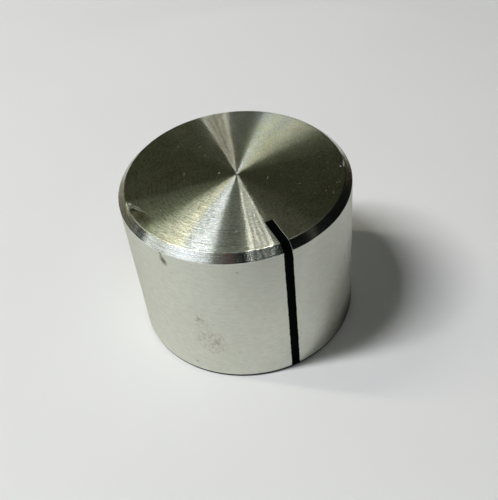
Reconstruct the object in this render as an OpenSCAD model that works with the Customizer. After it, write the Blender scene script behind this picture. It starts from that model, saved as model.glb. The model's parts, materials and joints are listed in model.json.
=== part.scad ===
// Turned aluminium control knob with a paint-filled pointer line and a grub screw.
// The base stands on z = 0, the shaft axis is +Z and the pointer line faces -Y.

/* [Body] */
// Diameter of the body
body_d = 32; // [26:0.5:50]
// Height of the body from base to top face
body_h = 24; // [20:0.5:40]
// 45 degree chamfer round the top face
rim_chamfer = 1; // [0.4:0.1:2]
// 45 degree edge break round the base
base_break = 0.2; // [0.1:0.05:0.6]

/* [Shaft seat] */
// Diameter of the shaft that the knob fits
shaft_d = 6; // [4:0.05:8]
// Gap between shaft and bore, on the radius
shaft_gap = 0.05; // [0.02:0.01:0.1]
// Metal left between the bore's drill point and the top face
crown = 3.2; // [2:0.1:6]
// Point angle of the drill that made the bore
drill_point = 118; // [90:1:140]
// Chamfer that leads the shaft into the bore
bore_lead = 0.5; // [0.2:0.1:1]
// Diameter of the recess that clears the nut and bushing
recess_d = 16; // [12:0.5:22]
// Depth of that recess
recess_depth = 5; // [4:0.5:6]
// Edge break round the mouth of the recess
recess_break = 0.3; // [0.1:0.1:0.8]

/* [Pointer line] */
// Width of the milled groove
line_w = 1.2; // [0.6:0.1:3]
// Depth of the groove, square to each surface
line_depth = 0.5; // [0.3:0.05:1]
// How far the groove runs in over the top face from the chamfer
line_reach = 4.3; // [1:0.1:9]
// How far the paint lies below the metal
fill_sink = 0.08; // [0.04:0.01:0.2]

/* [Grub screw] */
// Thread diameter of the grub screw
screw_d = 4; // [3:0.5:5]
// Length of the grub screw
screw_len = 6; // [4:0.5:8]
// Height of the screw axis above the recess floor
screw_rise = 5; // [3.5:0.5:8]
// How far the screw point is backed off from the bore
screw_back = 0.2; // [0:0.05:1]
// Gap between screw and tapped hole, on the radius
thread_gap = 0.05; // [0.02:0.01:0.1]
// Width across flats of the hexagon socket
hex_af = 2; // [1.5:0.1:2.5]
// Depth of the hexagon socket
hex_depth = 2.5; // [1.5:0.1:3]
// Diameter of the cup at the screw point
cup_d = 2; // [1:0.1:2.1]
// Chamfer on both ends of the screw
screw_chamfer = 0.4; // [0.2:0.05:0.6]
// Countersink at the mouth of the tapped hole
hole_break = 0.35; // [0.1:0.05:0.8]

/* [Hidden] */
$fn = 160;
// How far a cutter runs past the face it cuts
overcut = 1;

body_r = body_d / 2;
bore_r = shaft_d / 2 + shaft_gap;
recess_r = recess_d / 2;
drill_tip = bore_r / tan(drill_point / 2);
bore_apex = body_h - crown;
bore_top = bore_apex - drill_tip;

line_inner_r = body_r - rim_chamfer - line_reach;

screw_r = screw_d / 2;
hole_r = screw_r + thread_gap;
screw_z = recess_depth + screw_rise;
screw_tip_y = bore_r + screw_back;
cup_r = cup_d / 2;
cup_depth = cup_r / 2;
hex_r = hex_af / 2 / cos(30);

// Upper outline of the body in [radius, height], moved in by inset square to each surface.
// The chamfer's two corners slide along it by inset * tan(22.5) as it moves in.
function rim_outline(inset) = let (slide = inset * tan(22.5)) [
    [body_r - inset, body_h - rim_chamfer - slide],
    [body_r - rim_chamfer - slide, body_h - inset],
];

// Half section of the turned blank: outside first, then the bore and nut recess.
module turned_section() {
    polygon(concat(
        [[body_r - base_break, 0], [body_r, base_break]],
        rim_outline(0),
        [
            [0, body_h],
            [0, bore_apex],
            [bore_r, bore_top],
            [bore_r, recess_depth + bore_lead],
            [bore_r + bore_lead, recess_depth],
            [recess_r, recess_depth],
            [recess_r, recess_break],
            [recess_r + recess_break, 0],
        ]
    ));
}

// A plate as thick as the pointer line, cut to an outline of [radius, height] that faces -Y.
module pointer_plate(outline) {
    rotate([90, 0, -90])
        linear_extrude(height = line_w, center = true)
            polygon(outline);
}

// Groove up the side, over the chamfer and in over the top face, with a square inner end.
module pointer_groove() {
    pointer_plate(concat(
        [[body_r + overcut, -overcut], [body_r - line_depth, -overcut]],
        rim_outline(line_depth),
        [
            [line_inner_r, body_h - line_depth],
            [line_inner_r, body_h + overcut],
            [body_r + overcut, body_h + overcut],
        ]
    ));
}

// Carries its children to the screw's axis: their origin lies on the shaft axis, their +Z points to +Y.
module on_screw_axis() {
    translate([0, 0, screw_z])
        rotate([-90, 0, 0])
            children();
}

// Hole from the bore out through the side, with a countersunk mouth.
module tapped_hole() {
    on_screw_axis() {
        cylinder(r = hole_r, h = body_r + overcut);
        translate([0, 0, body_r - hole_break])
            cylinder(r1 = hole_r, r2 = hole_r + hole_break + overcut, h = hole_break + overcut);
    }
}

module knob_body() {
    color([0.78, 0.79, 0.74])
        difference() {
            rotate_extrude()
                turned_section();
            pointer_groove();
            tapped_hole();
        }
}

// Black paint that lies in the groove, a little below the metal all along.
module pointer_fill() {
    sunk = rim_outline(fill_sink);
    groove_floor = rim_outline(line_depth);
    color([0.02, 0.02, 0.02])
        pointer_plate([
            [body_r - fill_sink, fill_sink],
            sunk[0],
            sunk[1],
            [line_inner_r, body_h - fill_sink],
            [line_inner_r, body_h - line_depth],
            groove_floor[1],
            groove_floor[0],
            [body_r - line_depth, fill_sink],
        ]);
}

// Half section of the grub screw: cup point at the bottom, chamfered at both ends.
module screw_section() {
    polygon([
        [0, cup_depth],
        [cup_r, 0],
        [screw_r - screw_chamfer, 0],
        [screw_r, screw_chamfer],
        [screw_r, screw_len - screw_chamfer],
        [screw_r - screw_chamfer, screw_len],
        [0, screw_len],
    ]);
}

module grub_screw() {
    color([0.16, 0.16, 0.17])
        on_screw_axis()
            translate([0, 0, screw_tip_y])
                difference() {
                    rotate_extrude()
                        screw_section();
                    translate([0, 0, screw_len - hex_depth])
                        cylinder(r = hex_r, h = hex_depth + overcut, $fn = 6);
                }
}

knob_body();
pointer_fill();
grub_screw();
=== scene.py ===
import json
import math

import bmesh
import bpy
from mathutils import Matrix, Vector

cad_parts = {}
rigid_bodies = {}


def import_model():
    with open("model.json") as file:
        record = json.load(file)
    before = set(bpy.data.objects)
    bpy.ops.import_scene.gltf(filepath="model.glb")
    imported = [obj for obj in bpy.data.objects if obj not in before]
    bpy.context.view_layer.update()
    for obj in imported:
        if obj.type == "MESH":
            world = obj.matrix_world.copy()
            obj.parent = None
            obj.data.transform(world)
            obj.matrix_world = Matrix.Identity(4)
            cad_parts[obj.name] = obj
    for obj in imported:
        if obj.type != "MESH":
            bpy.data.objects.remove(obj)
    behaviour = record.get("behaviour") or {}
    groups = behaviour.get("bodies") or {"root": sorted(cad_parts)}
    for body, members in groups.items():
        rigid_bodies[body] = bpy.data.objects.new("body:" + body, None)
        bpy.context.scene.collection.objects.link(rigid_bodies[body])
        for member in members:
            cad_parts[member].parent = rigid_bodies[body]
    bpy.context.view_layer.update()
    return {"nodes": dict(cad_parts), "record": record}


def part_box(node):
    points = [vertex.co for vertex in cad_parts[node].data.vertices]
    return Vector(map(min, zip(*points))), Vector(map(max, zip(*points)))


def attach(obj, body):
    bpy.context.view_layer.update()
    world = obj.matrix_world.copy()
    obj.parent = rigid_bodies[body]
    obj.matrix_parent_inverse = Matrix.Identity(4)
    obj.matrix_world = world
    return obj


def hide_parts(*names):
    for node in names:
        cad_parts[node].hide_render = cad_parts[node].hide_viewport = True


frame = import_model()
mm = 0.001  # the frame is in metres, the sizes below in millimetres
print("frame loaded:", sorted(frame["nodes"]))


# camera, fitted to the rim, base edge and pointer line

cameraView = {
    "aim": (0.7951, -0.2469, 9.3778),
    "distance": 112.6552,
    "azimuth": -20.4902,
    "elevation": 44.4962,
    "roll": -6.8689,
    "focalPixels": 754.4418,
    "imageHeight": 500,
    "sensor": 36.0,
}


def placeCamera(view):
    turn = (
        Matrix.Rotation(math.radians(view["azimuth"]), 4, "Z")
        @ Matrix.Rotation(math.radians(90 - view["elevation"]), 4, "X")
        @ Matrix.Rotation(math.radians(view["roll"]), 4, "Z")
    )
    back = turn.to_3x3() @ Vector((0, 0, 1))
    eye = (Vector(view["aim"]) + back * view["distance"]) * mm
    data = bpy.data.cameras.new("bench_camera")
    data.sensor_width = view["sensor"]
    data.lens = view["focalPixels"] * view["sensor"] / view["imageHeight"]
    data.clip_start = 0.005
    camera = bpy.data.objects.new("bench_camera", data)
    camera.matrix_world = Matrix.Translation(eye) @ turn
    bpy.context.scene.collection.objects.link(camera)
    bpy.context.scene.camera = camera


placeCamera(cameraView)
print("camera placed")


# small helpers for meshes

def meshObject(name, bm):
    mesh = bpy.data.meshes.new(name)
    bm.to_mesh(mesh)
    bm.free()
    made = bpy.data.objects.new(name, mesh)
    bpy.context.scene.collection.objects.link(made)
    return made


def newPiece(name, bm, node=None):
    piece = meshObject(name, bm)
    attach(piece, "root")
    if node:
        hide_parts(node)
    return piece


def drawOutline(bm, points, axis):
    # an open line of (radius, height) points in millimetres, beside the axis
    spots = [(r * mm, 0, h * mm) if axis == "Z" else (r * mm, h * mm, 0) for r, h in points]
    verts = [bm.verts.new(spot) for spot in spots]
    return verts + [bm.edges.new(pair) for pair in zip(verts, verts[1:])]


def latheProfile(points, count, axis="Z"):
    # the outline spun round the axis into a closed shell
    bm = bmesh.new()
    bmesh.ops.spin(
        bm, geom=drawOutline(bm, points, axis), cent=(0, 0, 0),
        axis=(0, 0, 1) if axis == "Z" else (0, 1, 0),
        angle=math.tau, steps=count, use_merge=True, use_duplicate=False,
    )
    bmesh.ops.remove_doubles(bm, verts=bm.verts, dist=1e-7)
    bmesh.ops.recalc_face_normals(bm, faces=bm.faces)
    return bm


def thickGrid(wideSteps, longSteps):
    # a flat grid doubled into a thin slab: the shares across and along of each vertex, and the lower ones
    bm = bmesh.new()
    bmesh.ops.create_grid(bm, x_segments=wideSteps, y_segments=longSteps, size=0.5)
    grown = bmesh.ops.extrude_face_region(bm, geom=bm.faces[:])
    lower = {v for v in grown["geom"] if isinstance(v, bmesh.types.BMVert)}
    return bm, {v: (v.co.x + 0.5, v.co.y + 0.5) for v in bm.verts}, lower


def cutWith(blank, cutters):
    # blank and cutters are bmeshes; gives the blank's bmesh back with the cutters taken out or kept
    body = meshObject("blank", blank)
    tools = []
    for operation, cutter in cutters:
        tool = meshObject("cutter", cutter)
        cut = body.modifiers.new("cut", "BOOLEAN")
        cut.operation = operation
        cut.object = tool
        cut.solver = "EXACT"
        tools.append(tool)
    graph = bpy.context.evaluated_depsgraph_get()
    done = bmesh.new()
    done.from_mesh(body.evaluated_get(graph).to_mesh())
    for made in [body] + tools:
        data = made.data
        bpy.data.objects.remove(made)
        bpy.data.meshes.remove(data)
    return done


def smoothByAngle(piece, degrees):
    piece.data.shade_smooth()
    piece.data.set_sharp_from_angle(angle=math.radians(degrees))


def steps(start, end, count):
    return [start + (end - start) * i / count for i in range(count + 1)]


# sizes that come from the frame

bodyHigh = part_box("knob_body")[1]
lineLow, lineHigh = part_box("pointer_fill")
screwLow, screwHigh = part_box("grub_screw")
bodyR = bodyHigh[1] / mm
bodyH = bodyHigh[2] / mm
lineHalf = (lineHigh[0] - lineLow[0]) / 2 / mm
lineInner = -lineHigh[1] / mm
screwR = (screwHigh[2] - screwLow[2]) / 2 / mm
screwZ = (screwHigh[2] + screwLow[2]) / 2 / mm
screwTip = screwLow[1] / mm
screwEnd = screwHigh[1] / mm
bore = next(m for m in frame["record"]["mounts"] if m["name"] == "shaft_bore")
boreR = bore["dims"]["r_mm"]
boreMouth = bore["pos_m"][2] / mm
boreTop = boreMouth + bore["dims"]["length_mm"]


# thread shared by the tapped hole and the grub screw, so that they mesh

thread = {"pitch": 0.7, "depth": 0.33, "flat": 0.12, "turnSteps": 40, "clearance": 0.05}


def toScrewAxis(bm):
    bmesh.ops.translate(bm, verts=bm.verts, vec=(0, 0, screwZ * mm))
    return bm


def threadedRod(outerR, low, high):
    pitch = thread["pitch"]
    innerR = outerR - thread["depth"]
    flat = thread["flat"] * pitch
    start = math.floor(low / pitch) - 2  # whole turns past both ends, which are then cut square
    end = math.ceil(high / pitch) + 1
    outline = []
    for tooth in range(start, end):
        root = tooth * pitch
        outline += [
            (innerR, root), (innerR, root + flat),
            (outerR, root + pitch / 2 - flat / 2), (outerR, root + pitch / 2 + flat / 2),
        ]
    outline.append((innerR, end * pitch))
    bm = bmesh.new()
    count = thread["turnSteps"]
    bmesh.ops.spin(
        bm, geom=drawOutline(bm, outline, "Y"), cent=(0, 0, 0), axis=(0, 1, 0),
        dvec=(0, pitch * mm / count, 0), angle=math.tau, steps=count, use_merge=False, use_duplicate=False,
    )
    bmesh.ops.remove_doubles(bm, verts=bm.verts, dist=1e-6)
    for height, side in ((low, -1), (high, 1)):
        bmesh.ops.bisect_plane(
            bm, geom=bm.verts[:] + bm.edges[:] + bm.faces[:], dist=1e-8,
            plane_co=(0, height * mm, 0), plane_no=(0, side, 0), clear_outer=True,
        )
        rim = [e for e in bm.edges if e.is_boundary
               and all(abs(v.co.y - height * mm) < 1e-7 for v in e.verts)]
        bmesh.ops.holes_fill(bm, edges=rim, sides=0)
    toScrewAxis(bm)
    bmesh.ops.recalc_face_normals(bm, faces=bm.faces)
    return bm


# knob body

knob = {
    "segments": 360,
    "chamfer": 1.0,
    "edgeRound": 0.18,     # small rounding of the two chamfer edges
    "roundSteps": 4,
    "foot": (0.10, 0.46),  # how far the edge at the base draws in, and its height; its dark colour is painted shade for the shadowed gap under the base
    "recessR": 8.0,
    "recessDepth": 5.0,
    "recessBreak": 0.3,
    "boreLead": 0.5,
    "drillPoint": 118,
    "pip": (0.16, 0.04),   # radius and depth of the centre mark
    "turningCentre": (0.45, -0.05),  # the marks on the top face are a little off the axis
    "shiftReach": (0.6, 2.0),  # the mesh moves with them: in full to the first radius, fading to the second
    "dentLimit": 3.0,      # a dent moves nothing that is farther off
    "lineDepth": 0.5,
    "holeBreak": 0.35,
    "sharpAngle": 24,
}


def roundedCorner(corner, fromAngle, toAngle, radius, count):
    # points of a small arc tangent to two straight runs; angles are those of their outward normals
    half = math.radians(fromAngle - toAngle) / 2
    middle = math.radians(fromAngle + toAngle) / 2
    reach = radius / math.cos(half)
    centre = (corner[0] - reach * math.cos(middle), corner[1] - reach * math.sin(middle))
    return [
        (centre[0] + radius * math.cos(math.radians(a)), centre[1] + radius * math.sin(math.radians(a)))
        for a in steps(fromAngle, toAngle, count)
    ]


def bodyProfile():
    c = knob["chamfer"]
    radius, depth = knob["pip"]
    rim = bodyR - c
    shoulder = bodyH - c
    points = [(0, bodyH - depth), (radius * 0.45, bodyH - depth * 0.8), (radius, bodyH)]
    points += [(r, bodyH) for r in (0.6, 2, 4, 6, 8, 10, 11.5, 12.5)]
    points += [(r, bodyH) for r in steps(13.0, rim - 0.25, 7)]
    points += roundedCorner((rim, bodyH), 90, 45, knob["edgeRound"], knob["roundSteps"])
    points += [(rim + c * t, bodyH - c * t) for t in (0.15, 0.32, 0.5, 0.68, 0.85)]
    points += roundedCorner((bodyR, shoulder), 45, 0, knob["edgeRound"], knob["roundSteps"])
    points += [(bodyR, z) for z in steps(shoulder - 0.2, shoulder - 2.6, 12)]
    points += [(bodyR, z) for z in steps(shoulder - 3.0, 0.7, 16)]
    inset, foot = knob["foot"]
    slope = -math.degrees(math.atan2(inset, foot))
    points += roundedCorner((bodyR, foot), 0, slope, 0.05, 2)
    points += roundedCorner((bodyR - inset, 0), slope, -90, 0.06, 3)
    points += [(r, 0) for r in (15.2, 13, 11, 9)]
    points += [(knob["recessR"] + knob["recessBreak"], 0), (knob["recessR"], knob["recessBreak"])]
    points += [(knob["recessR"], z) for z in (1.5, 3, 4.5)]
    points += [(knob["recessR"], knob["recessDepth"])]
    points += [(r, knob["recessDepth"]) for r in (7.2, 5.5)]
    points += [(boreR + knob["boreLead"], knob["recessDepth"])]
    points += [(boreR, z) for z in steps(boreMouth, boreTop, 8)]
    points += [(0, boreTop + boreR / math.tan(math.radians(knob["drillPoint"] / 2)))]
    return points


def shiftPip(bm):
    near, far = knob["shiftReach"]
    for vert in bm.verts:
        radius = math.hypot(vert.co.x, vert.co.y) / mm
        if vert.co.z > (bodyH - 0.3) * mm and radius < far:
            share = min(1, (far - radius) / (far - near))
            vert.co.x += knob["turningCentre"][0] * share * mm
            vert.co.y += knob["turningCentre"][1] * share * mm


def sideSpot(azimuth, height, radius=bodyR):
    # azimuth 0 is the pointer line and grows to the right of it, seen from the front
    a = math.radians(azimuth)
    return Vector((radius * math.sin(a), -radius * math.cos(a), height))


dents = [
    # knocks in the side and the rim: azimuth, height, radius, reach along and across, slant, push
    (-61.0, 22.55, 16.0, (0.95, 0.38), -58, -0.08),
    (-58.6, 21.4, 16.0, (0.45, 0.28), -60, -0.07),
    (-93.0, 24.0, 14.95, (1.5, 0.42), 5, -0.13),
    (-98.5, 24.0, 14.75, (0.55, 0.35), 0, 0.03),
    (68.6, 24.0, 15.0, (1.1, 0.30), 0, -0.10),
    (74.0, 23.95, 15.05, (0.6, 0.25), 0, -0.06),
]


def pressDents(bm):
    for azimuth, height, radius, reach, slant, push in dents:
        centre = sideSpot(azimuth, height, radius)
        out = Vector((centre.x, centre.y, 0)).normalized()
        up = Vector((0, 0, 1))
        around = up.cross(out)
        way = (out + up).normalized() if height > bodyH - knob["chamfer"] else out
        across = around.cross(way)
        turn = math.radians(slant)
        longWay = around * math.cos(turn) + across * math.sin(turn)
        shortWay = across * math.cos(turn) - around * math.sin(turn)
        for vert in bm.verts:
            gap = vert.co / mm - centre
            if gap.length > knob["dentLimit"]:
                continue
            far = math.hypot(gap.dot(longWay) / reach[0], gap.dot(shortWay) / reach[1])
            if far < 1:
                vert.co += way * (push * (1 - far * far) ** 2 * mm)


lineMarks = [0, 0.76, 0.82, 1]  # shares of the line at the base, the chamfer's two edges and the inner end


def linePoint(share, depth):
    # a point of the pointer line's outline, moved in by depth
    c = knob["chamfer"]
    slide = depth * math.tan(math.radians(22.5))  # half of the chamfer's angle
    corners = [
        (bodyR - depth, lineLow[2] / mm), (bodyR - depth, bodyH - c - slide),
        (bodyR - c - slide, bodyH - depth), (lineInner, bodyH - depth),
    ]
    for i in range(3):
        if share <= lineMarks[i + 1]:
            t = (share - lineMarks[i]) / (lineMarks[i + 1] - lineMarks[i])
            return tuple(a + (b - a) * t for a, b in zip(corners[i], corners[i + 1]))
    return corners[-1]


def plateBetween(points, half):
    # a plate in the plane x = 0, from (radius, height) points that face -Y, extruded to both sides
    bm = bmesh.new()
    verts = [bm.verts.new((-half * mm, -r * mm, h * mm)) for r, h in points]
    face = bm.faces.new(verts)
    grown = bmesh.ops.extrude_face_region(bm, geom=[face])
    moved = [v for v in grown["geom"] if isinstance(v, bmesh.types.BMVert)]
    bmesh.ops.translate(bm, verts=moved, vec=(2 * half * mm, 0, 0))
    bmesh.ops.recalc_face_normals(bm, faces=bm.faces)
    return bm


def grooveCutter():
    d = knob["lineDepth"]
    outline = [(bodyR + 1, -1), (bodyR - d, -1)]
    outline += [linePoint(lineMarks[1], d), linePoint(lineMarks[2], d), (lineInner, bodyH - d)]
    outline += [(lineInner, bodyH + 1), (bodyR + 1, bodyH + 1)]
    return plateBetween(outline, lineHalf)


def mouthCutter():
    r = screwR + thread["clearance"]
    b = knob["holeBreak"]
    mouth = math.sqrt(bodyR ** 2 - r ** 2)
    outline = [(0, mouth - b), (r, mouth - b), (r + b + 1, mouth + 1), (0, mouth + 1)]
    return toScrewAxis(latheProfile(outline, 64, "Y"))


def bodyZone(face):
    # which finish a face of the body gets, by its place and tilt; the small numbers are slack in mm
    spot = face.calc_center_median() / mm
    radius = math.hypot(spot.x, spot.y)
    tilt = face.normal.z
    shoulder = bodyH - knob["chamfer"]
    betweenWalls = abs(spot.x) < lineHalf + 0.002 and spot.y < -lineInner + 0.002
    belowSkin = radius < bodyR - 0.03 and spot.z < bodyH - 0.02
    belowChamfer = spot.z < shoulder - 0.2 or radius + spot.z < bodyR + shoulder - 0.06
    if betweenWalls and belowSkin and belowChamfer:
        return "line"
    if spot.y > boreR - 0.3 and math.hypot(spot.x, spot.z - screwZ) < screwR + 0.6 and radius < bodyR - 0.012:
        return "hole"
    if spot.z > bodyH - 0.2 and radius > bodyR - knob["chamfer"] - 0.12 and 0.73 < tilt < 0.995:
        return "edge"
    if spot.z > bodyH - 0.2 and tilt > 0.92:
        return "top"
    if spot.z > shoulder - 0.05 and tilt > 0.1:
        return "rim"
    if radius > bodyR - 0.4 and spot.z > knob["foot"][1]:
        return "side"
    if radius > bodyR - 0.2:
        return "foot"
    if radius < boreR + 0.6 and spot.z > knob["recessDepth"] - 0.1:
        return "bore"
    return "under"


finishOrder = ["top", "edge", "rim", "side", "line", "hole", "foot", "under", "bore"]

bodyBlank = latheProfile(bodyProfile(), knob["segments"])
shiftPip(bodyBlank)
pressDents(bodyBlank)
holeRod = threadedRod(screwR + thread["clearance"], boreR - 1, bodyR + 1)
bodyMesh = cutWith(bodyBlank, [
    ("DIFFERENCE", grooveCutter()), ("DIFFERENCE", holeRod), ("DIFFERENCE", mouthCutter()),
])
for face in bodyMesh.faces:
    face.material_index = finishOrder.index(bodyZone(face))
knobBody = newPiece("knob_body_turned", bodyMesh, "knob_body")
smoothByAngle(knobBody, knob["sharpAngle"])
print("knob body:", len(knobBody.data.polygons), "faces")


# paint in the pointer line: a sheet that follows the line, dished between the walls

paint = {
    "sink": 0.05, "dish": 0.05, "ripple": 0.012, "lengthSteps": 120, "widthSteps": 8, "sharpAngle": 40,
}


def paintMesh():
    bm, shares, lower = thickGrid(paint["widthSteps"], paint["lengthSteps"])
    for vert, (across, share) in shares.items():
        wide = 2 * across - 1
        ripple = math.sin(share * 61) + math.sin(share * 23 + wide * 2) + math.sin(share * 140 + 1)
        depth = paint["sink"] + paint["dish"] * (1 - wide * wide) + paint["ripple"] * ripple / 3
        r, h = linePoint(min(max(share, 0), 1), knob["lineDepth"] if vert in lower else depth)
        vert.co = (wide * lineHalf * mm, -r * mm, h * mm)
    bmesh.ops.recalc_face_normals(bm, faces=bm.faces)
    return bm


pointerPaint = newPiece("pointer_paint", paintMesh(), "pointer_fill")
smoothByAngle(pointerPaint, paint["sharpAngle"])
print("pointer paint:", len(pointerPaint.data.polygons), "faces")


# burr that the cutter left along one edge of the pointer line

burr = {
    "height": 0.018,
    "inside": (0.04, 0.02),  # reach over the paint at the inner end and at the start
    "outside": 0.025,
    "rootDepth": 0.06,       # how deep it sits in the metal
    "start": 0.745,          # share of the line where it starts, just below the chamfer
    "lengthSteps": 70,
    "widthSteps": 4,
    "sharpAngle": 50,
}


def burrMesh():
    bm, shares, lower = thickGrid(burr["widthSteps"], burr["lengthSteps"])
    for vert, (wide, run) in shares.items():
        share = burr["start"] + (1 - burr["start"]) * run
        wobble = 1 + 0.25 * math.sin(run * 37) + 0.2 * math.sin(run * 91 + 2)
        inside = burr["inside"][1] + (burr["inside"][0] - burr["inside"][1]) * run ** 2
        x = lineHalf - inside * wobble + (inside * wobble + burr["outside"]) * wide
        rise = burr["height"] * math.sin(math.pi * wide) * wobble
        r, h = linePoint(share, burr["rootDepth"] if vert in lower else -rise)
        vert.co = (x * mm, -r * mm, h * mm)
    bmesh.ops.recalc_face_normals(bm, faces=bm.faces)
    return bm


lineBurr = newPiece("pointer_line_burr", burrMesh())
smoothByAngle(lineBurr, burr["sharpAngle"])
print("line burr:", len(lineBurr.data.polygons), "faces")


# grub screw: threaded rod with a chamfer at both ends, a cup point and a hexagon socket

grub = {
    "chamfer": 0.4, "cupR": 1.0, "cupDepth": 0.5, "hexAcross": 2.0, "hexDepth": 2.5, "drillDepth": 0.5,
    "leadR": 0.85, "leadDepth": 0.3, "sharpAngle": 30,
}


def grubMesh():
    rod = threadedRod(screwR, screwTip - 0.5, screwEnd + 0.5)
    c = grub["chamfer"]
    corner = grub["hexAcross"] / 2 / math.cos(math.radians(30))
    floor = screwEnd - grub["hexDepth"]
    outline = [
        (0, screwTip + grub["cupDepth"]), (grub["cupR"], screwTip), (screwR - c, screwTip),
        (screwR + 0.02, screwTip + c), (screwR + 0.02, screwEnd - c), (screwR - c, screwEnd), (0, screwEnd),
    ]
    hexagon = [
        (0, floor - grub["drillDepth"]), (corner * 0.86, floor), (corner, floor),
        (corner, screwEnd + 1), (0, screwEnd + 1),
    ]
    start = screwEnd - grub["leadDepth"]
    leadIn = [(0, start), (grub["leadR"], start), (corner + 0.9, screwEnd + 0.75), (0, screwEnd + 0.75)]
    blank, socket, lead = [
        toScrewAxis(latheProfile(points, count, "Y"))
        for points, count in ((outline, 64), (hexagon, 6), (leadIn, 48))
    ]
    return cutWith(blank, [("INTERSECT", rod), ("DIFFERENCE", socket), ("DIFFERENCE", lead)])


grubScrew = newPiece("grub_screw_threaded", grubMesh(), "grub_screw")
smoothByAngle(grubScrew, grub["sharpAngle"])
print("grub screw:", len(grubScrew.data.polygons), "faces")


# small helpers for materials

def newMaterial(name):
    material = bpy.data.materials.new(name)
    material.use_nodes = True
    material.node_tree.nodes.clear()
    return material, material.node_tree


def addNode(tree, kind, inputs=None, **settings):
    node = tree.nodes.new(kind)
    for key, value in settings.items():
        setattr(node, key, value)
    for key, value in (inputs or {}).items():
        if isinstance(value, bpy.types.NodeSocket):
            tree.links.new(value, node.inputs[key])
        else:
            node.inputs[key].default_value = value
    return node


def calc(tree, operation, a, b=0.0, c=0.0):
    return addNode(tree, "ShaderNodeMath", {0: a, 1: b, 2: c}, operation=operation).outputs[0]


def vecCalc(tree, operation, a, b=None, scale=None):
    inputs = {0: a}
    if b is not None:
        inputs[1] = b
    if scale is not None:
        inputs["Scale"] = scale
    node = addNode(tree, "ShaderNodeVectorMath", inputs, operation=operation)
    return node.outputs["Value" if operation == "LENGTH" else "Vector"]


def ramp(tree, value, low, high, toLow=0.0, toHigh=1.0):
    node = addNode(tree, "ShaderNodeMapRange", {
        "Value": value, "From Min": low, "From Max": high, "To Min": toLow, "To Max": toHigh,
    }, clamp=True)
    return node.outputs["Result"]


def blendColour(tree, share, first, second, kind="MIX"):
    node = addNode(tree, "ShaderNodeMix", data_type="RGBA", blend_type=kind)
    for key, value in (("Factor_Float", share), ("A_Color", first), ("B_Color", second)):
        socket = next(s for s in node.inputs if s.identifier == key)
        if isinstance(value, bpy.types.NodeSocket):
            tree.links.new(value, socket)
        else:
            socket.default_value = value
    return next(s for s in node.outputs if s.identifier == "Result_Color")


def dimmed(colour, share):
    return tuple(share * v for v in colour[:3]) + (1,)


def noiseOf(tree, place, scale, detail, roughness, output="Fac"):
    node = addNode(tree, "ShaderNodeTexNoise", {
        "Vector": place, "Scale": scale, "Detail": detail, "Roughness": roughness,
    }, noise_dimensions="3D")
    return node.outputs[output]


def lineNoise(tree, run, scale, detail, roughness):
    node = addNode(tree, "ShaderNodeTexNoise", {
        "W": run, "Scale": scale, "Detail": detail, "Roughness": roughness,
    }, noise_dimensions="1D")
    return node.outputs["Fac"]


def evened(tree, noise):
    # noise keeps near its middle, so it is drawn out to fill 0 to 1
    return ramp(tree, noise, 0.25, 0.75)


def placeInMm(tree):
    return vecCalc(tree, "SCALE", addNode(tree, "ShaderNodeTexCoord").outputs["Object"], scale=1000.0)


def latheFrame(tree, centre=(0, 0)):
    # place in mm, the way round the axis, the way across the turning marks and the run along the profile
    place = placeInMm(tree)
    offAxis = vecCalc(tree, "SUBTRACT", place, (*centre, 0))
    flat = vecCalc(tree, "MULTIPLY", offAxis, (1, 1, 0))
    outward = vecCalc(tree, "NORMALIZE", flat)
    around = vecCalc(tree, "CROSS_PRODUCT", (0, 0, 1), outward)
    normal = addNode(tree, "ShaderNodeNewGeometry").outputs["Normal"]
    across = vecCalc(tree, "CROSS_PRODUCT", around, normal)
    height = addNode(tree, "ShaderNodeSeparateXYZ", {0: place}).outputs["Z"]
    run = calc(tree, "SUBTRACT", vecCalc(tree, "LENGTH", flat), height)
    return {
        "place": place, "outward": outward, "around": around, "across": across, "normal": normal, "run": run,
    }


def grooveHash(tree, lathe, pitch):
    # one value for each turned groove
    groove = calc(tree, "FLOOR", calc(tree, "DIVIDE", lathe["run"], pitch))
    return addNode(tree, "ShaderNodeTexWhiteNoise", {"W": groove}, noise_dimensions="1D").outputs["Value"]


def streakPlace(tree, lathe, roundScale, runScale):
    # noise read here is drawn out round the axis: fine across the turning marks, long along them
    ringed = vecCalc(tree, "SCALE", lathe["outward"], scale=roundScale)
    risen = addNode(tree, "ShaderNodeCombineXYZ", {
        "Z": calc(tree, "MULTIPLY", lathe["run"], runScale),
    }).outputs[0]
    return vecCalc(tree, "ADD", ringed, risen)


def tilted(tree, lathe, slope, sideSlope=None):
    bent = vecCalc(tree, "ADD", lathe["normal"], vecCalc(tree, "SCALE", lathe["across"], scale=slope))
    if sideSlope is not None:
        bent = vecCalc(tree, "ADD", bent, vecCalc(tree, "SCALE", lathe["around"], scale=sideSlope))
    return vecCalc(tree, "NORMALIZE", bent)


def spread(tree, value, amount):
    # a 0 to 1 value turned into -amount to amount
    return calc(tree, "MULTIPLY_ADD", value, 2.0 * amount, -amount)


def finishSurface(tree, inputs, gloss=None, share=0.5):
    surface = addNode(tree, "ShaderNodeBsdfPrincipled", inputs)
    if gloss is not None:
        surface = addNode(tree, "ShaderNodeMixShader", {0: share, 1: surface.outputs[0], 2: gloss})
    addNode(tree, "ShaderNodeOutputMaterial", {"Surface": surface.outputs[0]})


def softSpot(at, reach, turn=0, tip=0, core=0.5, strength=1.0):
    # its centre, its reaches along its own x, y, z in mm, a turn about Z and a tip about its y
    angles = (0, math.radians(tip), math.radians(turn))
    return {"at": at, "reach": reach, "angles": angles, "core": core, "strength": strength}


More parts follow.
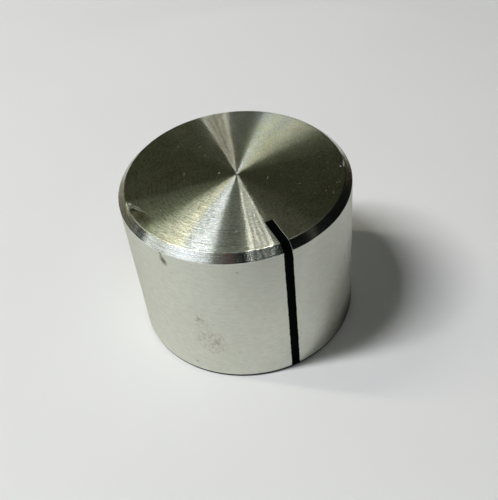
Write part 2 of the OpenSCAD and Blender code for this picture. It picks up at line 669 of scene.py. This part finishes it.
def markMask(tree, place, marks):
    total = None
    for mark in marks:
        local = addNode(tree, "ShaderNodeMapping", {
            "Vector": place, "Location": mark["at"], "Scale": mark["reach"], "Rotation": mark["angles"],
        }, vector_type="TEXTURE").outputs[0]
        soft = ramp(tree, vecCalc(tree, "LENGTH", local), 1.0, mark["core"], 0.0, mark["strength"])
        total = soft if total is None else calc(tree, "MAXIMUM", total, soft)
    return total


def laidOn(tree, place, colour, marks, tint, broken=None, kind="MIX"):
    # the colour with a tint over it where the marks are
    mask = markMask(tree, place, marks)
    if broken is not None:
        mask = calc(tree, "MULTIPLY", mask, broken)
    return blendColour(tree, mask, colour, tint, kind)


# turned metal of the top face and the rim

nickTint = (0.80, 0.80, 0.76, 1)  # of nicks and dust
topFinish = {
    "tint": (0.86, 0.885, 0.82, 1),
    "centre": knob["turningCentre"],
    "roughness": 0.275,
    "anisotropy": 1.0,
    "sharpShare": 0.70,    # share of the light that goes the way of the fine grooves
    "acrossSpread": 0.20,  # how far the grooves throw light across and along themselves
    "alongSpread": 0.003,
    "groovePitch": 0.03,
    "grooveSlope": 0.04,
    "ringSlope": 0.04,
    "streakSlope": 0.06,
    "lean": 0.015,         # the tool's feed leaves the marks leaning outward
    "grain": 0.002,
    "ringTone": 0.15,      # how much the same marks lighten and darken the metal
    "streakTone": 0.18,
    "arcTone": 0.22,       # short arcs of single scratches
    "grainTone": 0.45,     # small bright glints
    "cloudTone": 0.12,     # broad tarnish
    "sheenShare": 0.62,    # faint colours of the fine grooves
    "speckleShare": 0.28,
    "dust": 0.27,
    "marks": [
        # bright nicks and scratches
        softSpot((-1.59, 1.37, 24), (0.13, 0.12, 0.2)),
        softSpot((-5.86, 3.67, 24), (0.06, 0.70, 0.2), turn=-24, strength=0.35),
        softSpot((3.70, -2.92, 24), (0.06, 0.45, 0.2), turn=-36, strength=0.45),
        softSpot((-4.28, 10.0, 24), (0.14, 0.11, 0.2), strength=0.6),
        softSpot((-1.57, 8.23, 24), (0.12, 0.10, 0.2), strength=0.6),
        softSpot((-1.74, 5.97, 24), (0.12, 0.10, 0.2), strength=0.6),
        softSpot((6.84, -6.24, 24), (0.10, 0.10, 0.2), strength=0.5),
        softSpot((-4.43, -10.41, 24), (0.30, 0.08, 0.2), turn=20, strength=0.8),
        softSpot((-14.46, 1.63, 24), (0.34, 0.24, 0.5), turn=-70, strength=0.6),
        softSpot((-13.70, -0.20, 24), (1.75, 0.09, 0.4), turn=-58, strength=0.5),
        softSpot((-13.85, 0.57, 24), (0.95, 0.08, 0.4), turn=-63, strength=0.5),
        softSpot((13.21, -5.93, 24), (0.20, 0.14, 0.4), turn=60, strength=0.7),
        softSpot((13.95, -5.45, 24), (1.05, 0.17, 0.4), turn=60, strength=0.7),
        softSpot((9.08, -9.27, 24), (0.17, 0.09, 0.3), turn=30, strength=0.4),
        softSpot((9.61, -10.18, 24), (0.15, 0.09, 0.3), turn=-20, strength=0.4),
        softSpot((11.45, -8.61, 24), (0.30, 0.07, 0.3), turn=50, strength=0.35),
        softSpot((11.55, -5.44, 24), (0.13, 0.08, 0.3), turn=60, strength=0.35),
    ],
    "tarnishAndReflectionTint": (0.56, 0.44, 0.31, 1),
    "tarnishAndReflectionTintMarks": [
        softSpot((-13.95, -1.7, 24), (2.1, 0.95, 0.6), turn=-82, core=0.3, strength=0.75),
        softSpot((9.5, -9.0, 24), (3.2, 1.6, 0.6), turn=46, core=0.1, strength=0.3),
        softSpot((-7.5, 4.0, 24), (3.6, 2.4, 0.6), turn=30, core=0.1, strength=0.25),
        # painted reflection: a darker brown streak along the upper fan at the back
        softSpot((2.35, 8.8, 24), (2.1, 7.5, 0.6), turn=-12, strength=0.45),
    ],
    "fanReflectionTint": (0.91, 0.92, 0.60, 1),
    # painted reflection: the yellow tint of the upper right fan
    "fanReflectionTintMarks": [
        softSpot((7.4, 6.2, 24), (2.9, 8.6, 0.6), turn=-50, core=0.4),
    ],
    "pitAndDarkReflectionTint": (0.115, 0.095, 0.06, 1),
    "pitsAndDarkReflection": [
        # dark places: the knock at the left rim, the stain beside it, and painted reflection: a darker streak
        # along the upper fan at the back
        softSpot((-14.45, 0.25, 24), (0.95, 0.36, 0.5), turn=-60, core=0.1, strength=0.85),
        softSpot((-13.85, -1.9, 24), (2.1, 1.1, 0.6), turn=-82, core=0.2, strength=0.5),
        softSpot((2.35, 8.8, 24), (2.1, 7.5, 0.6), turn=-12, strength=0.12),
    ],
}


def grooveGloss(tree, finish, colour, lathe, normal):
    # a second gloss with far more stretch than the main shader has, for the sharp fans of turned metal
    narrow, wide = finish["alongSpread"], finish["acrossSpread"]
    stretch = math.sqrt(narrow / wide)
    return addNode(tree, "ShaderNodeBsdfAnisotropic", {
        "Color": colour, "Roughness": math.sqrt(narrow / stretch), "Anisotropy": 1 - stretch,
        "Normal": normal, "Tangent": lathe["around"],
    }, distribution="GGX").outputs[0]


def dustMask(tree, place, amount):
    # fine specks here and there
    cells = addNode(tree, "ShaderNodeTexVoronoi", {"Vector": place, "Scale": 0.9}, voronoi_dimensions="2D")
    pick = addNode(tree, "ShaderNodeSeparateColor", {0: cells.outputs["Color"]}).outputs[0]
    speck = ramp(tree, cells.outputs["Distance"], 0.11, 0.04)
    return calc(tree, "MULTIPLY", calc(tree, "MULTIPLY", speck, ramp(tree, pick, 0.5, 0.9)), amount)


def turnedTop(name, finish):
    material, tree = newMaterial(name)
    lathe = latheFrame(tree, finish["centre"])
    place = lathe["place"]
    hashed = grooveHash(tree, lathe, finish["groovePitch"])
    rings = evened(tree, lineNoise(tree, lathe["run"], 4.5, 2.0, 0.8))
    streaks = evened(tree, noiseOf(tree, streakPlace(tree, lathe, 12.0, 4.0), 1.0, 2.0, 0.7))
    arcs = evened(tree, noiseOf(tree, streakPlace(tree, lathe, 30.0, 4.6), 1.0, 1.0, 0.6))
    cloud = evened(tree, noiseOf(tree, place, 0.45, 3.0, 0.6))
    grain = ramp(tree, noiseOf(tree, place, 4.0, 1.0, 0.7), 0.45, 0.75)
    slope = finish["lean"]
    for mark, texture in (("groove", hashed), ("ring", rings), ("streak", streaks)):
        slope = calc(tree, "ADD", slope, spread(tree, texture, finish[mark + "Slope"]))
    normal = tilted(tree, lathe, slope, spread(tree, grain, finish["grain"]))
    # faint colours in the grooves, drawn out round the axis, with a finer speckle
    hues = noiseOf(tree, streakPlace(tree, lathe, 8.0, 2.6), 1.0, 2.0, 0.6, "Color")
    speckle = noiseOf(tree, place, 3.2, 1.0, 0.6, "Color")
    tint = blendColour(tree, finish["sheenShare"], finish["tint"], hues, "OVERLAY")
    tint = blendColour(tree, finish["speckleShare"], tint, speckle, "OVERLAY")
    tone = calc(tree, "MULTIPLY_ADD", grain, finish["grainTone"], 1.02 - 0.3 * finish["grainTone"])
    for mark, texture in (("streak", streaks), ("arc", arcs), ("ring", rings), ("cloud", cloud)):
        tone = calc(tree, "ADD", tone, spread(tree, texture, finish[mark + "Tone"]))
    colour = vecCalc(tree, "SCALE", tint, scale=tone)
    broken = ramp(tree, noiseOf(tree, place, 1.5, 4.0, 0.7), 0.3, 0.6)
    # brown tarnish, and painted reflection where a mark lies along a fan
    colour = laidOn(tree, place, colour, finish["tarnishAndReflectionTintMarks"], finish["tarnishAndReflectionTint"], broken)
    if "fanReflectionTintMarks" in finish:
        # painted reflection: a yellow tint over the upper right fan, gathered along the grooves
        gathered = ramp(tree, streaks, 0.25, 0.65)
        colour = laidOn(tree, place, colour, finish["fanReflectionTintMarks"], finish["fanReflectionTint"], gathered, "MULTIPLY")
    # dark pits and stains, and painted dark reflection on the rim and along the top's upper fan
    colour = laidOn(tree, place, colour, finish["pitsAndDarkReflection"], finish["pitAndDarkReflectionTint"])
    inputs = {
        "Base Color": colour, "Metallic": 1.0, "Roughness": finish["roughness"], "Normal": normal,
        "Anisotropic": finish["anisotropy"], "Anisotropic Rotation": 0.25, "Tangent": lathe["around"],
    }
    share = finish["sharpShare"]
    if "marks" in finish:
        nicks = markMask(tree, place, finish["marks"])
        mask = calc(tree, "MAXIMUM", nicks, dustMask(tree, place, finish["dust"]))
        inputs["Base Color"] = blendColour(tree, mask, colour, nickTint)
        inputs["Metallic"] = ramp(tree, mask, 0.0, 1.0, 1.0, 0.2)
        inputs["Roughness"] = ramp(tree, mask, 0.0, 1.0, finish["roughness"], 0.6)
        share = ramp(tree, mask, 0.0, 1.0, finish["sharpShare"], 0.1)
    finishSurface(tree, inputs, grooveGloss(tree, finish, colour, lathe, normal), share)
    return material


rimFinish = {
    "tint": (0.86, 0.88, 0.85, 1),
    "centre": (0, 0),
    "roughness": 0.275,
    "anisotropy": 0.0,
    "sharpShare": 0.92,
    "acrossSpread": 0.08,
    "alongSpread": 0.003,
    "groovePitch": 0.05,
    "grooveSlope": 0.06,
    "ringSlope": 0.06,
    "streakSlope": 0.05,
    "lean": 0.0,
    "grain": 0.006,
    "ringTone": 0.16,
    "streakTone": 0.16,
    "arcTone": 0.06,
    "grainTone": 0.05,
    "cloudTone": 0.04,
    "sheenShare": 0.2,
    "speckleShare": 0.12,
    "pitAndDarkReflectionTint": (0.10, 0.13, 0.13, 1),
    "pitsAndDarkReflection": [
        # painted dark reflection: the rim is darker at the front right, beside the line
        softSpot((9.0, -12.6, 23.5), (5.6, 3.0, 2.0), turn=36, core=0.6, strength=0.6),
        softSpot((1.9, -15.4, 23.5), (2.0, 1.4, 2.0), core=0.6, strength=0.65),
    ],
    "tarnishAndReflectionTint": (0.43, 0.375, 0.21, 1),
    "tarnishAndReflectionTintMarks": [
        # the rim is tinted darker and browner at the left, the back and the right
        softSpot((-14.5, 4.8, 23.5), (6.0, 8.3, 3.0), core=0.4, strength=0.65),
        softSpot((-9.0, 12.6, 23.5), (7.0, 6.0, 3.0), core=0.4, strength=0.8),
        softSpot((-1.5, 15.4, 23.5), (6.0, 4.0, 3.0), core=0.4, strength=0.85),
        softSpot((14.0, -6.6, 23.5), (2.6, 3.4, 2.0), core=0.1, strength=0.7),
    ],
}
edgeFinish = dict(
    rimFinish, tint=(0.92, 0.93, 0.90, 1), acrossSpread=0.22, sharpShare=0.73, tarnishAndReflectionTint=(0.13, 0.13, 0.118, 1),
    # the edge is darker over its front left
    tarnishAndReflectionTintMarks=[softSpot((-9.5, -10.5, 24), (9.0, 9.0, 3.0), core=0.75)],
    dust=0.0, pitsAndDarkReflection=[topFinish["pitsAndDarkReflection"][0]],
    marks=[
        # chips in the edge, at the left and at the right
        softSpot((-14.5, 1.63, 24), (0.50, 0.30, 0.5), turn=-75, strength=0.6),
        softSpot((13.98, -5.45, 24), (1.05, 0.22, 0.5), turn=60, strength=0.6),
    ],
)


# satin side: fine turned lines, a worn stain and small specks

sideFinish = {
    "tint": (0.71, 0.721, 0.64, 1),
    "worn": (0.665, 0.676, 0.595, 1),
    "roughness": 0.54,
    "anisotropy": 0.75,
    "sharpShare": 0.65,
    "acrossSpread": 0.11,
    "alongSpread": 0.08,
    "linePitch": 0.09,
    "lineSlope": 0.03,
    "bandSlope": 0.04,
    "lineTone": 0.04,      # fine lines and short flecks round the side
    "fleckTone": 0.07,
    "grain": 0.02,
    "stainTint": (0.40, 0.345, 0.245, 1),
    "stain": [
        softSpot((-10.6, -12.0, 7.4), (2.6, 2.6, 3.0), core=0.1),
        softSpot((-11.4, -11.2, 11.5), (1.4, 1.4, 2.0), core=0.1, strength=0.7),
    ],
    "shade": (0.55, 0.563, 0.50, 1),
    "shadeMarks": [
        # darker in the upper part near the line and to the right of it
        softSpot((-2.5, -15.8, 23.0), (9.0, 6.0, 13.0), core=0.1),
        softSpot((5.5, -15.0, 19.0), (6.5, 5.0, 13.0), core=0.1, strength=0.75),
    ],
    "baseDark": (0.08, 0.08, 0.072, 1),
    "baseDarkMarks": [
        # darker towards the base on the right
        softSpot((11.1, -11.5, -0.3), (8.4, 4.0, 5.6), turn=44, core=0.08, strength=0.95),
    ],
    "lean": -0.10,         # the fine lines lean a little upward
    "smear": (0.012, 0.11),  # least and most that the paint runs over the edges of the line
    "smearTint": (0.004, 0.0045, 0.0045, 1),
    "knock": (0.15, 0.148, 0.095, 1),
    "knockMarks": [
        softSpot((-13.93, -7.87, 22.5), (0.26, 0.6, 0.95), turn=-60, tip=-17, strength=0.6),
        softSpot((-13.80, -8.1, 21.6), (0.58, 0.6, 1.05), turn=-60, tip=-22, core=0.25, strength=0.95),
        softSpot((-11.6, -11.05, 11.94), (0.22, 0.4, 0.2), strength=0.5),
        softSpot((-6.48, -14.62, 21.42), (0.2, 0.3, 0.16), strength=0.5),
        softSpot((10.0, -12.49, 13.84), (0.18, 0.3, 0.16), strength=0.7),
        softSpot((10.0, -12.49, 14.49), (0.14, 0.3, 0.14), strength=0.6),
        softSpot((-12.6, -9.85, 1.94), (0.26, 0.4, 0.2), strength=0.5),
    ],
}


def smearMask(tree, place, reach):
    # paint with a ragged edge beside the pointer line
    apart = addNode(tree, "ShaderNodeSeparateXYZ", {0: place}).outputs
    ragged = noiseOf(tree, place, 1.7, 4.0, 0.7)
    edge = ramp(tree, ragged, 0.45, 0.75, lineHalf + reach[0], lineHalf + reach[1])
    inside = ramp(tree, calc(tree, "SUBTRACT", calc(tree, "ABSOLUTE", apart["X"]), edge), 0.02, -0.02)
    return calc(tree, "MULTIPLY", inside, calc(tree, "LESS_THAN", apart["Y"], 0.0))


def satinSide(name, finish):
    material, tree = newMaterial(name)
    lathe = latheFrame(tree)
    place = lathe["place"]
    hashed = grooveHash(tree, lathe, finish["linePitch"])
    bands = spread(tree, lineNoise(tree, lathe["run"], 1.7, 4.0, 0.65), finish["bandSlope"])
    slope = calc(tree, "ADD", spread(tree, hashed, finish["lineSlope"]), bands)
    slope = calc(tree, "ADD", slope, finish["lean"])
    speckle = spread(tree, noiseOf(tree, place, 6.0, 4.0, 0.7), finish["grain"])
    mottle = noiseOf(tree, place, 1.1, 5.0, 0.6)
    colour = blendColour(tree, ramp(tree, mottle, 0.35, 0.7), finish["tint"], finish["worn"])
    # darker in the upper part near the line and to the right of it
    colour = laidOn(tree, place, colour, finish["shadeMarks"], finish["shade"])
    # darker towards the base on the right
    colour = laidOn(tree, place, colour, finish["baseDarkMarks"], finish["baseDark"])
    lines = spread(tree, evened(tree, lineNoise(tree, lathe["run"], 5.5, 2.0, 0.8)), finish["lineTone"])
    flecks = evened(tree, noiseOf(tree, streakPlace(tree, lathe, 14.0, 5.0), 1.0, 2.0, 0.75))
    drawn = calc(tree, "ADD", lines, spread(tree, flecks, finish["fleckTone"]))
    colour = vecCalc(tree, "SCALE", colour, scale=calc(tree, "ADD", drawn, 1.0))
    broken = ramp(tree, noiseOf(tree, place, 2.2, 4.0, 0.7), 0.46, 0.62)
    stain = calc(tree, "MULTIPLY", markMask(tree, place, finish["stain"]), broken)
    specks = ramp(tree, noiseOf(tree, place, 2.3, 2.0, 0.5), 0.735, 0.76)
    dirt = calc(tree, "MAXIMUM", stain, calc(tree, "MULTIPLY", specks, 0.7))
    colour = blendColour(tree, dirt, colour, finish["stainTint"])
    colour = laidOn(tree, place, colour, finish["knockMarks"], finish["knock"])
    colour = blendColour(tree, smearMask(tree, place, finish["smear"]), colour, finish["smearTint"])
    rough = calc(tree, "MULTIPLY_ADD", mottle, 0.10, finish["roughness"] - 0.05)
    normal = tilted(tree, lathe, slope, speckle)
    finishSurface(tree, {
        "Base Color": colour, "Metallic": 1.0, "Roughness": rough, "Normal": normal,
        "Anisotropic": finish["anisotropy"], "Anisotropic Rotation": 0.25, "Tangent": lathe["around"],
    }, grooveGloss(tree, finish, colour, lathe, normal), finish["sharpShare"])
    return material


cutFinish = {"tint": (0.80, 0.81, 0.76, 1), "roughness": 0.38, "groovePitch": 0.12, "grooveSlope": 0.10}


def plainCut(name, tint=cutFinish["tint"], roughness=cutFinish["roughness"]):
    material, tree = newMaterial(name)
    lathe = latheFrame(tree)
    slope = spread(tree, grooveHash(tree, lathe, cutFinish["groovePitch"]), cutFinish["grooveSlope"])
    mottle = noiseOf(tree, lathe["place"], 1.4, 4.0, 0.6)
    finishSurface(tree, {
        "Base Color": blendColour(tree, ramp(tree, mottle, 0.4, 0.7), tint, dimmed(tint, 0.82)),
        "Metallic": 1.0,
        "Roughness": calc(tree, "MULTIPLY_ADD", mottle, 0.16, roughness - 0.08),
        "Normal": tilted(tree, lathe, slope),
    })
    return material


# black enamel of the pointer line

paintFinish = {
    "colour": (0.0009, 0.0012, 0.0014, 1), "dust": (0.003, 0.0033, 0.0033, 1),
    "roughness": 0.62, "specular": 0.012,
}


def enamel(name, finish):
    material, tree = newMaterial(name)
    place = placeInMm(tree)
    dust = ramp(tree, noiseOf(tree, place, 3.5, 5.0, 0.75), 0.60, 0.78)
    grain = noiseOf(tree, place, 7.0, 4.0, 0.7)
    bump = addNode(tree, "ShaderNodeBump", {"Height": grain, "Strength": 0.25, "Distance": 0.00004})
    finishSurface(tree, {
        "Base Color": blendColour(tree, dust, finish["colour"], finish["dust"]),
        "Metallic": 0.0, "Specular IOR Level": finish["specular"],
        "Roughness": calc(tree, "MULTIPLY_ADD", grain, 0.2, finish["roughness"] - 0.1),
        "Normal": bump.outputs[0],
    })
    return material


# black oxide of the grub screw

oxideFinish = {"colour": (0.045, 0.045, 0.05, 1), "worn": (0.26, 0.26, 0.26, 1), "roughness": 0.42}


def blackOxide(name, finish):
    material, tree = newMaterial(name)
    place = placeInMm(tree)
    cloud = noiseOf(tree, place, 1.8, 5.0, 0.65)
    worn = ramp(tree, cloud, 0.58, 0.72)
    bump = addNode(tree, "ShaderNodeBump", {
        "Height": noiseOf(tree, place, 9.0, 3.0, 0.7), "Strength": 0.2, "Distance": 0.00003,
    })
    finishSurface(tree, {
        "Base Color": blendColour(tree, worn, finish["colour"], finish["worn"]),
        "Metallic": 1.0,
        "Roughness": calc(tree, "MULTIPLY_ADD", cloud, 0.25, finish["roughness"] - 0.12),
        "Normal": bump.outputs[0],
    })
    return material


blackEnamel = enamel("black_enamel", paintFinish)
bodyFinishes = {
    "top": turnedTop("turned_top", topFinish),
    "edge": turnedTop("worn_edge", edgeFinish),
    "rim": turnedTop("turned_rim", rimFinish),
    "side": satinSide("satin_side", sideFinish),
    "line": blackEnamel,  # the paint runs up the walls of the line
    # painted shade: the foot is near black to stand for the shadowed gap under the base
    "foot": plainCut("painted_shade_foot", (0.022, 0.022, 0.02, 1), 0.5),
    "hole": plainCut("tapped_hole", (0.66, 0.665, 0.62, 1), 0.34),
    "under": plainCut("turned_base"),
    "bore": plainCut("reamed_bore", (0.74, 0.75, 0.70, 1), 0.30),
}
for zone in finishOrder:
    knobBody.data.materials.append(bodyFinishes[zone])
lineBurr.data.materials.append(plainCut("bright_burr", (0.84, 0.86, 0.86, 1), 0.36))
pointerPaint.data.materials.append(blackEnamel)
grubScrew.data.materials.append(blackOxide("black_oxide", oxideFinish))
print("finishes done")


# pale floor

behind = (0.62, 0.62, 0.615, 1)
bench = {
    "half": 2.0, "colour": (0.80, 0.80, 0.795, 1), "roughness": 0.55, "specular": 0.25,
    "fade": (160, 400),  # the far floor melts into the pale backdrop between these distances in mm
}


def layBench():
    bm = bmesh.new()
    bmesh.ops.create_grid(bm, x_segments=1, y_segments=1, size=bench["half"])
    floor = meshObject("pale_bench", bm)
    material, tree = newMaterial("pale_bench_top")
    place = placeInMm(tree)
    cloud = ramp(tree, noiseOf(tree, place, 0.03, 3.0, 0.5), 0.35, 0.65)
    seen = addNode(tree, "ShaderNodeLightPath").outputs["Is Camera Ray"]
    far = calc(tree, "MULTIPLY", ramp(tree, vecCalc(tree, "LENGTH", place), *bench["fade"]), seen)
    backdrop = addNode(tree, "ShaderNodeEmission", {"Color": behind, "Strength": 1.0}).outputs[0]
    finishSurface(tree, {
        "Base Color": blendColour(tree, cloud, bench["colour"], dimmed(bench["colour"], 0.985)),
        "Roughness": bench["roughness"], "Specular IOR Level": bench["specular"],
    }, backdrop, far)
    material.cycles.emission_sampling = "NONE"
    floor.data.materials.append(material)


layBench()


# soft studio lights: lean is how far the light stands off to the side for each unit of height

lightHeight = 0.75
lamps = [
    {"name": "key_strip", "lean": (-0.618, 0.135), "size": (0.45, 0.0825), "turn": 160.6,
     "power": 7.25, "colour": (0.985, 1.0, 1.03)},
    {"name": "side_lamp", "lean": (-0.72, 0.557), "size": (0.50, 0.0375), "turn": 142.2,
     "power": 2.1, "colour": (1.0, 0.96, 0.82)},
    {"name": "front_fill", "lean": (-0.009, -0.652), "size": (0.30, 0.15), "turn": 0,
     "power": 0.76, "colour": (0.97, 1.0, 1.0)},
]


def hangLamp(lamp):
    data = bpy.data.lights.new(lamp["name"], "AREA")
    data.shape = "RECTANGLE"
    data.size, data.size_y = lamp["size"]
    data.energy = lamp["power"]
    data.color = lamp["colour"]
    made = bpy.data.objects.new(lamp["name"], data)
    place = Vector((*lamp["lean"], 1)) * lightHeight + Vector((0, 0, bodyH * mm))
    made.matrix_world = Matrix.Translation(place) @ Matrix.Rotation(math.radians(lamp["turn"]), 4, "Z")
    made.visible_camera = False
    made.visible_glossy = False
    bpy.context.scene.collection.objects.link(made)


for lamp in lamps:
    hangLamp(lamp)


# glowing sheets that only the metal mirrors: each hangs where facets of some tilt mirror it to the camera,
# and along it runs the azimuth of those facets, which is that of the fan it throws on the turned top

sheetDistance = 0.6
sheetSteps = (5, 24)  # faces for each degree along a sheet, and over its height
fanSpot = Vector((*topFinish["centre"], bodyH)) * mm
white, cream, lime = (0.96, 1.0, 0.97), (1.0, 0.985, 0.77), (0.93, 1.0, 0.69)
grey, warm, teal = (0.92, 1.0, 0.87), (1.0, 0.99, 0.87), (0.87, 1.0, 0.95)
sky, amber, lilac = (0.95, 1.0, 1.03), (1.0, 0.95, 0.68), (0.985, 1.0, 1.03)
ochre, rust = (1.0, 0.86, 0.45), (1.0, 0.70, 0.58)
slats = {"from": -17.9, "to": -3.8, "shares": (1.2, 0.85, 0.8, 1.0)}


def slatLevels(bright, dark, tint):
    # light that falls through slats: bright and dark strips side by side
    pitch = (slats["to"] - slats["from"]) / len(slats["shares"])
    levels = [(slats["from"] - 1.6, dark / 2, tint)]
    for i, share in enumerate(slats["shares"]):
        start = slats["from"] + i * pitch
        levels += [(start + 0.08 * pitch, bright * share, tint), (start + 0.52 * pitch, bright * share, tint)]
        levels += [(start + 0.64 * pitch, dark, tint), (start + 0.94 * pitch, dark, tint)]
    return levels + [(slats["to"] + 0.6, 0.01, tint)]


fanSheets = [
    {"name": "window_sheet", "tilt": (16, 36), "levels": [
        (-98, 0.18, lime), (-86, 0.34, lime), (-79, 0.62, lime), (-74.5, 1.9, lime), (-66, 3.5, cream),
        (-61.5, 4.7, amber), (-57.5, 5.1, cream), (-53.5, 3.7, sky), (-47, 5.8, lilac), (-40.4, 5.2, sky),
        (-37.1, 0.8, grey), (-32, 0.40, grey), (-19.8, 0.50, grey),
    ]},
    {"name": "window_sheet_low", "tilt": (37, 62), "levels": [
        (-96, 0.7, amber), (-86, 0.36, cream), (-79, 0.04, grey), (-75, 0.08, grey), (-71, 0.7, white),
        (-63, 0.56, white), (-57, 0.85, sky), (-51, 1.03, sky), (-44, 0.79, sky), (-38.5, 0.56, white),
        (-34.5, 0.14, grey), (-29, 0.07, rust), (-25.5, 0.04, rust), (-24, 0.008, teal), (-19.8, 0.005, teal),
    ]},
    {"name": "slat_sheet", "tilt": (19, 35), "levels": slatLevels(8.7, 0.3, warm)},
    {"name": "slat_sheet_low", "tilt": (36, 54), "levels": slatLevels(0.145, 0.045, teal)},
    {"name": "sill_sheet", "tilt": (19, 35), "levels": [
        (-3.2, 0.22, cream), (14, 0.19, cream), (23, 0.07, cream), (32, 0.01, cream),
    ]},
    {"name": "sill_sheet_low", "tilt": (38, 54), "levels": [
        (10.5, 0.0, cream), (13, 0.035, cream), (17, 0.035, cream), (19.5, 0.0, cream),
    ]},
]
dimWalls = [
    {"name": "back_wall", "radius": 0.095, "height": 0.028, "levels": [
        (60, 0.008, grey), (104, 0.02, ochre), (121, 0.08, ochre), (131, 0.19, cream), (142, 0.55, white),
        (165, 0.57, white), (180, 0.41, white), (200, 0.25, cream),
    ]},
    {"name": "left_wall", "radius": 0.095, "height": 0.050, "levels": [
        (200, 0.25, cream), (215, 0.19, cream), (226, 0.10, cream), (240, 0.06, grey),
    ]},
]


def glowAt(levels, azimuth):
    for low, high in zip(levels, levels[1:]):
        if azimuth <= high[0]:
            share = (azimuth - low[0]) / (high[0] - low[0])
            return (Vector(low[2]) * low[1]).lerp(Vector(high[2]) * high[1], min(max(share, 0), 1))
    return Vector(levels[-1][2]) * levels[-1][1]


def fanWay(azimuth, tilt):
    # the way that such a facet mirrors to the camera
    facet = sideSpot(azimuth, math.cos(math.radians(tilt)), math.sin(math.radians(tilt)))
    view = (bpy.context.scene.camera.matrix_world.translation - fanSpot).normalized()
    return facet * (2 * view.dot(facet)) - view


def glowMaterial():
    material, tree = newMaterial("sheet_glow")
    level = addNode(tree, "ShaderNodeAttribute", attribute_name="glow").outputs["Color"]
    glow = addNode(tree, "ShaderNodeEmission", {"Color": level, "Strength": 1.0})
    addNode(tree, "ShaderNodeOutputMaterial", {"Surface": glow.outputs[0]})
    material.cycles.emission_sampling = "NONE"
    return material


sheetGlow = glowMaterial()


def hangSheet(name, levels, place):
    # place turns an azimuth and a share of the sheet's height into a point
    first, last = levels[0][0], levels[-1][0]
    along, over = sheetSteps
    bm = bmesh.new()
    bmesh.ops.create_grid(bm, x_segments=int((last - first) * along), y_segments=over, size=0.5)
    glow = bm.verts.layers.float_color.new("glow")
    for vert in bm.verts:
        azimuth = first + (last - first) * (vert.co.x + 0.5)
        vert[glow] = (*glowAt(levels, azimuth), 1)
        vert.co = place(azimuth, vert.co.y + 0.5)
    sheet = meshObject(name, bm)
    sheet.data.materials.append(sheetGlow)
    sheet.visible_camera = False
    sheet.visible_diffuse = False
    sheet.visible_shadow = False


def fanPlace(tilt):
    low, high = tilt
    return lambda azimuth, share: fanSpot + fanWay(azimuth, low + (high - low) * share) * sheetDistance


def wallPlace(height, radius):
    return lambda azimuth, share: sideSpot(azimuth, height * share, radius)


for sheet in fanSheets:
    hangSheet(sheet["name"], sheet["levels"], fanPlace(sheet["tilt"]))
for wall in dimWalls:
    hangSheet(wall["name"], wall["levels"], wallPlace(wall["height"], wall["radius"]))


# dim room: dark for reflections, darkest on the right and in front, pale behind the bench for the camera

room = {
    "left": (0.044, 0.046, 0.025, 1),
    "right": (0.0085, 0.009, 0.0075, 1),
    "front": (0.0026, 0.0037, 0.0035, 1),
}


def paintRoom():
    world = bpy.data.worlds.new("dim_room")
    world.use_nodes = True
    tree = world.node_tree
    tree.nodes.clear()
    seen = addNode(tree, "ShaderNodeLightPath").outputs["Is Camera Ray"]
    way = addNode(tree, "ShaderNodeTexCoord").outputs["Generated"]
    apart = addNode(tree, "ShaderNodeSeparateXYZ", {0: way}).outputs
    dim = blendColour(tree, ramp(tree, apart["X"], 0.1, 0.75), room["left"], room["right"])
    dim = blendColour(tree, ramp(tree, apart["Y"], -0.05, -0.45), dim, room["front"])
    background = addNode(tree, "ShaderNodeBackground", {
        "Color": blendColour(tree, seen, dim, behind), "Strength": 1.0,
    })
    addNode(tree, "ShaderNodeOutputWorld", {"Surface": background.outputs[0]})
    bpy.context.scene.world = world


paintRoom()
bpy.context.scene.view_settings.view_transform = "Standard"
print("floor, lights and room done")
